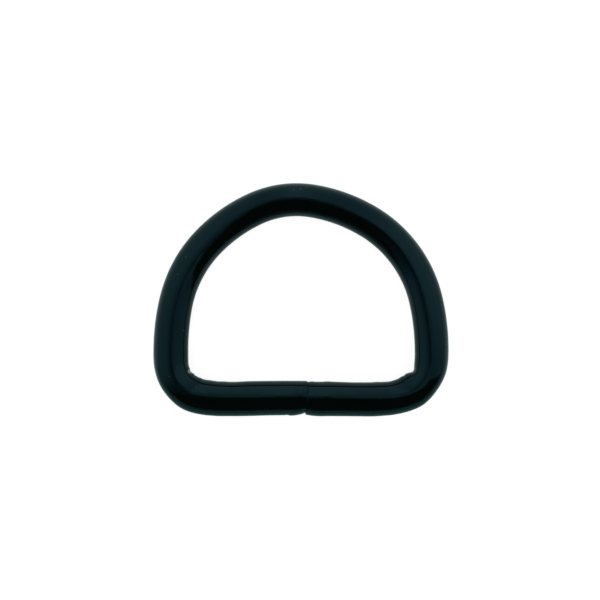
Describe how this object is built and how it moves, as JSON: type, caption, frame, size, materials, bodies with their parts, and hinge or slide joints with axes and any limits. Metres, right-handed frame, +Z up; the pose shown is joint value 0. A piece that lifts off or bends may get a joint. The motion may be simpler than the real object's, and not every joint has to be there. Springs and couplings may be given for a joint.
{
  "type": "d ring",
  "caption": "Black enamelled steel wire D ring with a straight bar for webbing, a curved bow and an open butt seam in the bar.",
  "frame": {"origin": "middle of the ring's outline on the surface that it lies on", "axes": "+X along the straight bar, +Y from the bar to the crown of the bow, +Z up out of the surface"},
  "size_m": [0.0322, 0.0256, 0.0037],
  "materials": {
    "black_enamel": "gloss"
  },
  "bodies": {
    "root": {"wire_ring": "black_enamel"}
  },
  "joints": []
}
